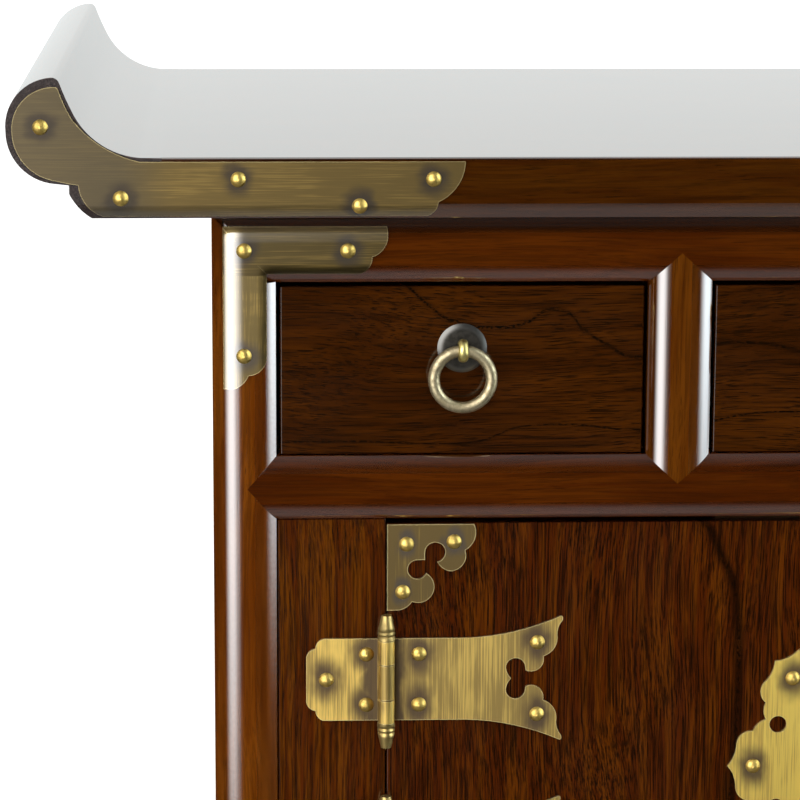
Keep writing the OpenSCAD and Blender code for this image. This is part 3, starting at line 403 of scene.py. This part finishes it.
def sheet_brass(name, plate, tacks, gold, olive, patina, brushed, rough, fold_z=None, wear=0.5,
                coated=False, turn_z=None, shade_and_stain=None, dull_x=None, wrapped=False, spread=8.2):
    """Sheet brass, brushed along one axis, with dark patina round its tacks and a painted highlight
    along its edges.

    fold_z: height about which the plate is mirrored
    wear: how much of the gold shows through the olive
    coated: lacquered, where polish_weight says
    turn_z: height below which the brushing is upright
    shade_and_stain: reach of the patina and the painted knuckle shadow beside the hinge knuckle, in mm
    dull_x: distances from the middle between which the brass goes dull
    wrapped: shaded by wrapped_normal
    spread: reach of the patina round a tack, in mm
    """
    n = Nodes(name)
    x, _, z = n.split(n.place)
    upright = n.step(z, turn_z, turn_z - 1.0 * MM) if turn_z else float(brushed == Z)
    stroke = n.noise(n.stretched(along(brushed, 0.015)), 2600.0, 2.0, 0.6)
    if turn_z:
        stroke = n.mix(upright, stroke, n.noise(n.stretched(along(Z, 0.015)), 2600.0, 2.0, 0.6))
    cloud = n.noise(n.stretched(along(brushed, 0.3)), 90.0, 3.0, 0.55, 0.3)
    tone = n.total((n.step(cloud, 0.35, 0.65), 0.40), (n.step(stroke, 0.3, 0.7), 0.60))
    colour = n.mix(n.step(tone, 0.9 - wear, 1.5 - wear), olive, gold)
    if dull_x:
        far = n.step(n.math("ABSOLUTE", x), *dull_x)
        colour = n.mix(n.math("MULTIPLY", far, 0.7), colour, DULL_BRASS)
    folded, squeeze = folded_place(n, brushed, fold_z)
    halo = tack_halo(n, folded, squeeze, tack_places(tacks, plate, fold_z), spread)
    # Patina round the tacks, and beside the knuckle patina together with a painted shadow of the knuckle
    if shade_and_stain:
        halo = n.math("MAXIMUM", halo, knuckle_patina_and_shade(n, folded, shade_and_stain))
    colour = n.mix(n.math("MULTIPLY", halo, 0.94), colour, patina)
    # Painted highlight along the sharp edges
    colour = n.mix(n.math("MULTIPLY", rim(n), 0.9), colour, EDGE_HIGHLIGHT)
    facing = wrapped_normal(n, x, z) if wrapped else leaning_normal(n, 0.5 if coated else 1.0)
    if wrapped:
        n.link(facing, n.shader.inputs["Coat Normal"])
    if coated:
        gloss = polish_weight(n, facing if wrapped else None)
        n.surface(Coat_Weight=gloss, Coat_IOR=COAT_IOR, Coat_Roughness=0.1)
    n.shader.inputs["Anisotropic"].default_value = 0.6
    return n.surface(
        Base_Color=colour, Metallic=1.0, Roughness=n.total((stroke, 0.06), (halo, 0.04), (1.0, rough)),
        Tangent=n.joined(upright, 0.0, n.math("SUBTRACT", 1.0, upright)),
        Normal=n.bump(stroke, 0.00001, 1.0, facing),
    )


def leaning_normal(n, share):
    """The true normal, leaned by a share of the small slope at which cut sheet lies."""
    lean = (SHEET_LEAN * share, 0.0, 0.0)
    return n.vector("NORMALIZE", n.vector("ADD", n.add("NewGeometry").outputs["Normal"], lean))


def wrapped_normal(n, x, z):
    """Normal of the corner brackets, which wrap in one smooth sheet round the post and under the top."""
    outside, inside = -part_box("front_left_post")[0].x, -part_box("front_left_post")[1].x
    rail_low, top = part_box("front_top_rail")[0].z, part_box("left_corner_bracket")[1].z
    side, away = n.math("SIGN", x), n.math("ABSOLUTE", x)
    outward = n.drawn(away, [(outside - inset * MM, lean) for inset, lean in POST_WRAP])
    arm = n.step(z, rail_low + 8.0 * MM, rail_low + 1.0 * MM)
    inward = n.math("MULTIPLY", n.step(away, inside + 7.5 * MM, inside + 0.5 * MM), arm)
    bar = n.step(away, inside + 5.0 * MM, inside - 1.0 * MM)
    under = n.math("MULTIPLY", n.step(z, rail_low + 7.0 * MM, rail_low + 1.0 * MM), bar)
    upward = n.step(z, top - 7.0 * MM, top + 1.0 * MM)
    lean = n.math("MULTIPLY", side, n.total((outward, 1.0), (inward, -0.45)))
    lean = n.math("ADD", lean, 0.5 * SHEET_LEAN)
    facing = n.vector("NORMALIZE", n.joined(lean, -1.0, n.total((under, -0.4), (upward, 0.9))))
    turned = n.add("VectorTransform", vector_type="NORMAL", convert_from="OBJECT", convert_to="WORLD")
    n.link(facing, turned.inputs[0])
    return turned.outputs[0]


def rim(n):
    """1 on the sharp outer edges of a piece, 0 on its faces: where the painted edge highlight goes."""
    soft = n.add("Bevel", samples=4)
    soft.inputs["Radius"].default_value = 0.6 * MM
    true = n.add("NewGeometry").outputs["Normal"]
    return n.step(n.vector("DOT_PRODUCT", soft.outputs[0], true, output="Value"), 0.995, 0.88)


def cast_brass(name, gold, dull, rough, streak=(1, 1, 1), dents=0.02):
    """Cast or turned brass, clouded, with dents of a depth in mm."""
    n = Nodes(name)
    cloud = n.noise(n.stretched(streak), 420.0, 4.0, 0.6)
    return n.surface(Base_Color=n.mix(n.step(cloud, 0.38, 0.68), gold, dull), Metallic=1.0,
                     Roughness=n.step(cloud, 0.3, 0.7, rough * 0.85, rough * 1.3),
                     Normal=n.bump(cloud, dents * MM, 0.5))


def rose_bronze():
    """Dark bronze of the domed roses, painted dark in the middle and bright towards the rim, so that the
    lamps show on the rim only.
    """
    n = Nodes("rose_bronze")
    whole = n.add("TexCoord").outputs["Generated"]
    from_middle = n.vector("SUBTRACT", whole, (0.5, 0.5, 0.5))
    radial = n.vector("LENGTH", n.vector("MULTIPLY", from_middle, (1, 0, 1)), output="Value")
    cloud = n.noise(n.place, 500.0, 3.0, 0.6)
    centre = n.mix(n.step(cloud, 0.4, 0.6), (0.030, 0.028, 0.024), (0.046, 0.042, 0.036))
    # Painted shade: dark and dull in the middle, bright and metallic at the rim, in place of a rounder
    # dome
    colour = n.mix(n.step(radial, 0.36, 0.46), centre, (0.150, 0.144, 0.133))
    return n.surface(Base_Color=colour, Metallic=n.step(radial, 0.34, 0.46, 0.08, 0.9), Roughness=0.30,
                     Specular_IOR_Level=0.0, Normal=n.bump(cloud, 0.02 * MM, 0.4))


# Tones of the woods
RAIL_TONES = dict(
    dark=(0.016, 0.0045, 0.0005), middle=(0.058, 0.0108, 0.0004), light=(0.084, 0.0180, 0.0008))
POST_TONES = dict(
    dark=(0.040, 0.010, 0.0008), middle=(0.118, 0.026, 0.0010), light=(0.180, 0.048, 0.0028))
STILE_TONES = dict(
    dark=(0.030, 0.0080, 0.0008), middle=(0.078, 0.0180, 0.0008), light=(0.120, 0.0330, 0.0020))
BOARD_TONES = dict(
    dark=(0.012, 0.0042, 0.0005), middle=(0.042, 0.0100, 0.0005), light=(0.060, 0.0165, 0.0009))
DRAWER_TONES = dict(
    dark=(0.0055, 0.0024, 0.0005), middle=(0.038, 0.0090, 0.0003), light=(0.066, 0.0165, 0.0006))
DOOR_TONES = dict(
    dark=(0.0060, 0.0021, 0.0004), middle=(0.070, 0.0120, 0.0003), light=(0.112, 0.0260, 0.0006))
PANEL_TONES = dict(
    dark=(0.015, 0.0040, 0.0004), middle=(0.082, 0.0150, 0.0004), light=(0.128, 0.0330, 0.0008))
INNER_TONES = dict(dark=(0.20, 0.105, 0.045), light=(0.36, 0.215, 0.105))

# Tones of the sheet brass
DUSK, UMBER = (0.11, 0.089, 0.0676), (0.125, 0.0854, 0.0552)
TOP_BRASS = dict(gold=(0.445, 0.303, 0.0979), olive=(0.276, 0.192, 0.0712), patina=DUSK)
BRACKET_BRASS = dict(gold=(0.445, 0.303, 0.0926), olive=(0.21, 0.15, 0.0552), patina=DUSK)
FRAME_LEAF_BRASS = dict(gold=(0.979, 0.685, 0.178), olive=(0.498, 0.342, 0.107), patina=UMBER)
DOOR_LEAF_BRASS = dict(gold=(0.748, 0.525, 0.146), olive=(0.392, 0.271, 0.089), patina=UMBER)
CORNER_BRASS = dict(gold=(0.338, 0.228, 0.0676), olive=(0.169, 0.117, 0.0463), patina=DUSK)
LOCK_BRASS = dict(gold=(1.0, 0.74, 0.165), olive=(0.676, 0.454, 0.117), patina=UMBER)

# Long dark lines of pores: points of [run, side] in metres, then a width in mm and a strength
DRAWER_LINES = (
    (((-0.240, 0.395), (-0.192, 0.379), (-0.177, 0.3673), (-0.1675, 0.3615), (-0.152, 0.359),
      (-0.139, 0.3615), (-0.130, 0.3658), (-0.120, 0.359), (-0.109, 0.352), (-0.096, 0.3473),
      (-0.060, 0.353), (-0.010, 0.345), (0.060, 0.360), (0.120, 0.349), (0.180, 0.357),
      (0.240, 0.340)), 0.9, 0.35),
    (((-0.240, 0.3149), (-0.211, 0.3153), (-0.170, 0.3142), (-0.151, 0.3176), (-0.128, 0.3215),
      (-0.096, 0.3192), (-0.040, 0.326), (0.030, 0.318), (0.110, 0.323), (0.170, 0.317),
      (0.240, 0.320)), 0.5, 0.2),
)
DOOR_LINES = (
    (((0.080, 0.071), (0.130, 0.062), (0.180, 0.058), (0.222, 0.0565), (0.247, 0.0575), (0.269, 0.064),
      (0.286, 0.073)), 1.4, 0.75),
)

# Doors, drawer fronts and panels are a little duller than the frame
FRONT_ROUGH = 0.11
UNDERSIDE_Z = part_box("top_board")[0].z
BRACKET_TURN_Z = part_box("left_corner_bracket")[1].z - 17.8 * MM

LOOKS = {
    "rail": varnished_wood("rail_wood", X, pores=0.34, shade_under_z=UNDERSIDE_Z, polish=True, **RAIL_TONES),
    "board": varnished_wood("board_wood", X, pores=0.33, polish=True, **BOARD_TONES),
    "side_rail": varnished_wood("side_rail_wood", Y, pores=0.34, polish=True, **RAIL_TONES),
    "post": varnished_wood("post_wood", Z, pores=0.33, shift=0.2, peel=0.8, polish=True, **POST_TONES),
    "stile": varnished_wood("stile_wood", Z, pores=0.33, shift=0.9, polish=True, **STILE_TONES),
    "drawer": varnished_wood("drawer_wood", X, pores=0.43, strength=0.7, rough=FRONT_ROUGH, shift=0.37,
                             lines=DRAWER_LINES, **DRAWER_TONES),
    "door": varnished_wood("door_wood", Z, pores=0.47, strength=0.62, figure=0.005, rough=FRONT_ROUGH,
                           shift=0.71, fine=0.8, lines=DOOR_LINES, **DOOR_TONES),
    "panel": varnished_wood("panel_wood", Z, pores=0.42, rough=FRONT_ROUGH, shift=0.53, fine=0.8,
                            **PANEL_TONES),
    "end": end_grain("end_grain"),
    "inner_x": plain_wood("inner_wood_x", X, **INNER_TONES),
    "inner_y": plain_wood("inner_wood_y", Y, **INNER_TONES),
    "top_plate": sheet_brass("top_plate_brass", "left_top_plate", "carcass_tacks", brushed=X,
                             rough=0.42, coated=True, dull_x=(0.270, 0.295), spread=6.5, **TOP_BRASS),
    "bracket": sheet_brass("bracket_brass", "left_corner_bracket", "carcass_tacks", brushed=X,
                           rough=0.36, wear=0.4, coated=True, turn_z=BRACKET_TURN_Z, wrapped=True,
                           spread=6.5, **BRACKET_BRASS),
    "frame_leaf": sheet_brass("frame_leaf_brass", "frame_hinge_leaves", "carcass_tacks", brushed=Z,
                              rough=0.40, fold_z=LOCK_Z, wear=0.8, shade_and_stain=11.5, **FRAME_LEAF_BRASS),
    "door_leaf": sheet_brass("door_leaf_brass", "left_door_hinge_leaves", "left_door_tacks", brushed=Z,
                             rough=0.40, fold_z=LOCK_Z, wear=0.6, shade_and_stain=8.6, **DOOR_LEAF_BRASS),
    "corner": sheet_brass("corner_brass", "left_door_corner_plates", "left_door_tacks", brushed=Z,
                          rough=0.40, fold_z=LOCK_Z, wear=0.3, spread=5.2, **CORNER_BRASS),
    "lock": sheet_brass("lock_brass", "left_lock_plate", "left_door_tacks", brushed=Z,
                        rough=0.40, fold_z=LOCK_Z, wear=0.9, **LOCK_BRASS),
    "tack": cast_brass("tack_brass", (0.89, 0.641, 0.178), (0.57, 0.401, 0.107), 0.45),
    "pin": cast_brass("pin_brass", (0.605, 0.445, 0.16), (0.356, 0.267, 0.107), 0.45, (1, 1, 0.1)),
    "staple": cast_brass("staple_brass", (1.0, 0.85, 0.32), (0.712, 0.587, 0.214), 0.38),
    "ring": cast_brass("ring_brass", (0.641, 0.543, 0.338), (0.427, 0.356, 0.214), 0.46, dents=0.08),
    "rose": rose_bronze(),
}

# Look of each CAD node, and width of its softened edges in mm
FINISHES = {
    "top_board": ("board", 0.5), "left_scroll_end": ("board", 0.5), "right_scroll_end": ("board", 0.5),
    "left_top_plate": ("top_plate", 0), "right_top_plate": ("top_plate", 0),
    "front_left_post": ("post", 0.4), "front_right_post": ("post", 0.4),
    "back_left_post": ("post", 0.4), "back_right_post": ("post", 0.4),
    "front_top_rail": ("rail", 0.4), "front_middle_rail": ("rail", 0.4),
    "front_bottom_rail": ("rail", 0.4), "left_divider": ("stile", 0.4), "right_divider": ("stile", 0.4),
    "side_rails": ("side_rail", 0.4), "back_rails": ("rail", 0.5),
    "left_side_panels": ("panel", 0), "right_side_panels": ("panel", 0),
    "back_panels": ("inner_x", 0), "left_front_panel": ("panel", 0.3),
    "right_front_panel": ("panel", 0.3), "drawer_deck": ("inner_x", 0.3),
    "cupboard_floor": ("inner_x", 0.3), "drawer_partitions": ("inner_y", 0.3),
    "drawer_guides": ("inner_y", 0.3), "door_stop": ("inner_x", 0.4),
    "left_corner_bracket": ("bracket", 0), "right_corner_bracket": ("bracket", 0),
    "frame_hinge_leaves": ("frame_leaf", 0), "hinge_pins": ("pin", 0), "carcass_tacks": ("tack", 0),
}
for side in ("left", "right"):
    FINISHES[side + "_door"] = ("door", 0.4)
    FINISHES[side + "_door_hinge_leaves"] = ("door_leaf", 0)
    FINISHES[side + "_door_corner_plates"] = ("corner", 0)
    FINISHES[side + "_lock_plate"] = ("lock", 0)
    FINISHES[side + "_door_tacks"] = ("tack", 0)
    FINISHES[side + "_door_pull"] = ("staple", 0)
    FINISHES[side + "_door_ring"] = ("ring", 0)
for place in ("left", "middle", "right"):
    FINISHES[place + "_drawer_front"] = ("drawer", 0.5)
    FINISHES[place + "_drawer_box"] = ("inner_y", 0.4)
    FINISHES[place + "_drawer_bottom"] = ("inner_x", 0)
    FINISHES[place + "_drawer_pull"] = ("staple", 0)
    FINISHES[place + "_drawer_ring"] = ("ring", 0)

BODY_OF = {node: body for body, nodes in frame["record"]["behaviour"]["bodies"].items()
           for node in nodes}


# Pieces


# Radius of the rounded edges on the frame, and on the front of the top
FRAME_R, NOSE_R = 9.0 * MM, 8.5 * MM

# The crown beside the edges of an upright: its greatest lean in degrees, and its width
FRAME_TILT, CROWN = 7.0, 2.7 * MM
FRAME_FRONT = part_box("front_left_post")[0].y


def level_span(full, first, last):
    """Shading of a rounded edge, from a first angle at its flat to a last one at a full true turn.

    The angles are in degrees, and come back as sines.
    """
    return [math.sin(math.radians(angle)) for angle in (full, first, last)]


FRAME_SPAN = level_span(50, FRAME_TILT, 58)
NOSE_SPAN = level_span(40, 13, 41)
STILE_SPAN = level_span(50, FRAME_TILT, 68)
RIGHT_SPAN = level_span(50, 17, 41)


def rounded_sides(node):
    """Flat faces that the rounded edges of a node start from: way out, distance, radius and shading.

    The shading is None, or an axis and the spans of the edges that turn down it and up it.
    """
    low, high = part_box("front_left_post")[0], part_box("back_right_post")[1]
    face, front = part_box(node)[0].y, Vector((0, -1, 0))
    if node.endswith("_corner_bracket"):
        return ((front, -face, FRAME_R + FRAME_FRONT - face, None),)
    if node.endswith(("_board", "_scroll_end")):
        return ((front, -face, NOSE_R, (Z, NOSE_SPAN, NOSE_SPAN)),)
    if node.endswith("_top_plate"):
        return ((front, -face, NOSE_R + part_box("top_board")[0].y - face, None),)
    if node.endswith(("_post", "_rail", "_rails", "_divider")):
        shading = (X, STILE_SPAN if node.endswith("_divider") else FRAME_SPAN, RIGHT_SPAN)
        return ((front, -FRAME_FRONT, FRAME_R, shading),
                (Vector((0, 1, 0)), high.y, FRAME_R, None),
                (Vector((-1, 0, 0)), -low.x, FRAME_R, None),
                (Vector((1, 0, 0)), high.x, FRAME_R, None))
    return ()


def rounding_normals(face, sides):
    """Shading normals of a face on a rounded edge, or nothing for other faces."""
    for out, reach, radius, shading in sides:
        lean = math.acos(max(-1.0, min(1.0, face.normal.dot(out))))
        depths = [reach - v.co.dot(out) for v in face.verts]
        if lean < 0.03 or max(depths) > radius * 1.001 or min(depths) < -0.01 * MM:
            continue
        turns = [math.acos(1.0 - max(0.0, min(1.0, d / radius))) for d in depths]
        if max(abs(turn - lean) for turn in turns) > 0.12:
            continue
        aside = (face.normal - out * face.normal.dot(out)).normalized()
        if shading and abs(aside[shading[0]]) > 0.7:
            axis, down, up = shading
            full, first, last = up if aside[axis] > 0 else down
            part = [min(1.0, math.sin(turn) / full) for turn in turns]
            turns = [math.asin(first * (1 - p) + last * p) for p in part]
        return [out * math.cos(turn) + aside * math.sin(turn) for turn in turns]
    return None


def squared(face):
    """Whether a face is square to an axis."""
    return max(abs(c) for c in face.normal) > 0.9999


def at_front(face):
    """Whether a face lies in the front plane of the frame."""
    return face.normal.y < -0.9999 and abs(face.verts[0].co.y - FRAME_FRONT) < 0.1 * MM


def crown(bm):
    """Cuts the front of an upright where its crowned sides begin, and gives its left and right."""
    flat = [v.co.x for f in bm.faces if at_front(f) for v in f.verts]
    low, high = min(flat), max(flat)
    for x in (low + CROWN, high - CROWN):
        bmesh.ops.bisect_plane(bm, geom=bm.verts[:] + bm.edges[:] + bm.faces[:], plane_co=(x, 0, 0),
                               plane_no=(1, 0, 0), dist=0.001 * MM)
    return low, high


def crowned_normals(face, low, high):
    """Shading normals that lean outwards near both edges of an upright's front."""
    normals = []
    for vertex in face.verts:
        from_low, from_high = vertex.co.x - low, high - vertex.co.x
        tilt = math.radians(FRAME_TILT) * max(0.0, 1.0 - min(from_low, from_high) / CROWN)
        turn = -tilt if from_low < from_high else tilt
        normals.append(Vector((math.sin(turn), -math.cos(turn), 0.0)))
    return normals


SMOOTH_ANGLE = math.radians(50)
SMOOTH_COS = math.cos(SMOOTH_ANGLE)


def set_normals(bm, mesh, sides, crowned=None):
    """Keeps flat faces flat, and blends the normals of other faces with their larger neighbours."""
    normals = []
    for face in bm.faces:
        if crowned and at_front(face):
            normals += crowned_normals(face, *crowned)
            continue
        rounded = rounding_normals(face, sides)
        if rounded:
            normals += rounded
            continue
        for loop in face.loops:
            if squared(face):
                normals.append(face.normal.copy())
                continue
            near = [f for f in loop.vert.link_faces if f.normal.dot(face.normal) > SMOOTH_COS]
            total = sum((f.normal * f.calc_area() for f in near), Vector())
            normals.append(total.normalized() if total.length > 0 else face.normal.copy())
    mesh.normals_split_custom_set(normals)


def finished_mesh(node, look, soft_edge):
    """A copy of a CAD node's mesh with joined vertices and softened long edges."""
    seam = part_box("top_board")[1].x
    bm = bmesh.new()
    bm.from_mesh(frame["nodes"][node].data)
    bmesh.ops.remove_doubles(bm, verts=bm.verts, dist=0.002 * MM)
    bmesh.ops.dissolve_limit(bm, angle_limit=math.radians(0.3), verts=bm.verts, edges=bm.edges)
    if soft_edge:
        sharp = [
            e for e in bm.edges
            if len(e.link_faces) == 2 and e.calc_length() > 3 * MM
            and e.calc_face_angle(0.0) > math.radians(25) and all(squared(f) for f in e.link_faces)
            and not all(abs(abs(v.co.x) - seam) < 0.01 * MM for v in e.verts)
        ]
        bmesh.ops.bevel(bm, geom=sharp, offset=soft_edge * MM, offset_type="OFFSET", segments=1,
                        profile=0.5, affect="EDGES", clamp_overlap=True)
    for face in bm.faces:
        face.smooth = True
    bm.normal_update()
    front_upright = look in ("post", "stile") and not node.startswith("back_")
    crowned = crown(bm) if front_upright else None
    bm.normal_update()
    mesh = bpy.data.meshes.new(node + "_finish")
    bm.to_mesh(mesh)
    if look not in ("tack", "pin", "staple", "ring"):
        set_normals(bm, mesh, rounded_sides(node), crowned)
    else:
        mesh.set_sharp_from_angle(angle=SMOOTH_ANGLE)
    bm.free()
    return mesh


def dress(node, look, soft_edge):
    """Shows a CAD node as a finished piece that stands for it."""
    piece = bpy.data.objects.new(node + "_finish", finished_mesh(node, look, soft_edge))
    bpy.context.scene.collection.objects.link(piece)
    piece.data.materials.append(LOOKS[look])
    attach(piece, BODY_OF[node])
    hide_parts(node)
    return piece


def paint_faces(piece, look, chosen):
    """Gives some faces of a piece a second look."""
    piece.data.materials.append(LOOKS[look])
    for face in piece.data.polygons:
        if chosen(face):
            face.material_index = 1


def paint_rose(piece):
    """Gives the domed rose of a pull its dark bronze, and leaves the staple bright."""
    def depth(island):
        return max(p.y for p in island) - min(p.y for p in island)
    rose = min(islands(piece.data), key=depth)
    near = {tuple(p) for p in rose}
    points = piece.data.vertices
    paint_faces(piece, "rose", lambda face: tuple(points[face.vertices[0]].co) in near)


# Studio


def floor():
    """A plain pale floor."""
    piece = bpy.data.objects.new("floor", bpy.data.meshes.new("floor"))
    bm = bmesh.new()
    bmesh.ops.create_grid(bm, x_segments=1, y_segments=1, size=30.0)
    bm.to_mesh(piece.data)
    bm.free()
    n = Nodes("floor_paint")
    grit = n.noise(n.place, 3.0, 2.0)
    shade = n.mix(n.step(grit, 0.3, 0.7), (0.90, 0.90, 0.90), (0.92, 0.92, 0.92))
    piece.data.materials.append(n.surface(Base_Color=shade, Roughness=0.9, Specular_IOR_Level=0.0,
                                          Emission_Color=(1.0, 1.0, 1.0), Emission_Strength=0.06))
    bpy.context.scene.collection.objects.link(piece)
    piece.visible_glossy = False


def studio():
    """Soft light from all round, with two boxes, a bright wall behind and a white ground for the camera.

    In degrees: azimuth is 0 in front of the object and grows towards +X, and height grows upwards.
    """
    n = Nodes("studio", world=True)
    bpy.context.scene.world = n.owner
    n.owner.cycles.sampling_method = "NONE"
    x, y, z = n.split(n.place)
    azimuth = n.math("MULTIPLY", n.math("ARCTAN2", x, n.math("MULTIPLY", y, -1.0)), math.degrees(1))
    height = n.math("MULTIPLY", n.math("ARCSINE", z), math.degrees(1))
    turn = n.math("ABSOLUTE", azimuth)

    def within(value, rise, fall):
        """1 between a rise and a fall, each given by the values where it starts and ends."""
        return n.math("MULTIPLY", n.step(value, *rise), n.step(value, *reversed(fall)))

    left_box = n.math("MULTIPLY", within(azimuth, (-75.0, -42.0), (-33.0, 1.0)),
                      within(height, (-23.5, -11.5), (44.0, 56.0)))
    right_box = n.math("MULTIPLY", within(azimuth, (52.0, 72.0), (80.0, 92.0)),
                       within(height, (-17.2, -9.2), (46.0, 54.0)))
    before = n.step(turn, 115.0, 100.0)
    above = n.math("MULTIPLY", n.step(height, 10.0, 95.0), before)
    under = n.step(height, -22.0, -58.0)
    behind = n.math("MULTIPLY", n.step(turn, 130.0, 150.0), n.step(height, -14.0, 8.0, 0.8, 1.28))
    seen = (0.0, 0.0, 0.0)
    for amount, tint in ((left_box, (4.7, 4.7, 4.7)), (right_box, (4.6, 5.2, 5.5)),
                         (behind, (0.965, 1.005, 1.0)), (above, (0.17, 0.17, 0.17)),
                         (under, (0.18, 0.18, 0.18))):
        tinted = n.vector("MULTIPLY", n.joined(amount, amount, amount), tint)
        seen = n.vector("ADD", seen, tinted)
    soft = n.total((x, -0.15), (y, 0.30), (z, 0.70), (1.0, 0.90))
    path = n.add("LightPath").outputs
    light = n.mix(path["Is Glossy Ray"], n.joined(soft, soft, soft), seen)
    light = n.mix(path["Is Camera Ray"], light, (1.0, 1.0, 1.0))
    n.link(light, n.shader.inputs["Color"])


photo_camera()
for node_name, (look_name, edge_mm) in FINISHES.items():
    finished = dress(node_name, look_name, edge_mm)
    if node_name.endswith("_pull"):
        paint_rose(finished)
    if node_name.endswith("_scroll_end"):
        paint_faces(finished, "end", lambda face: abs(face.normal.y) > 0.75)
floor()
studio()
bpy.context.scene.view_settings.view_transform = "Standard"
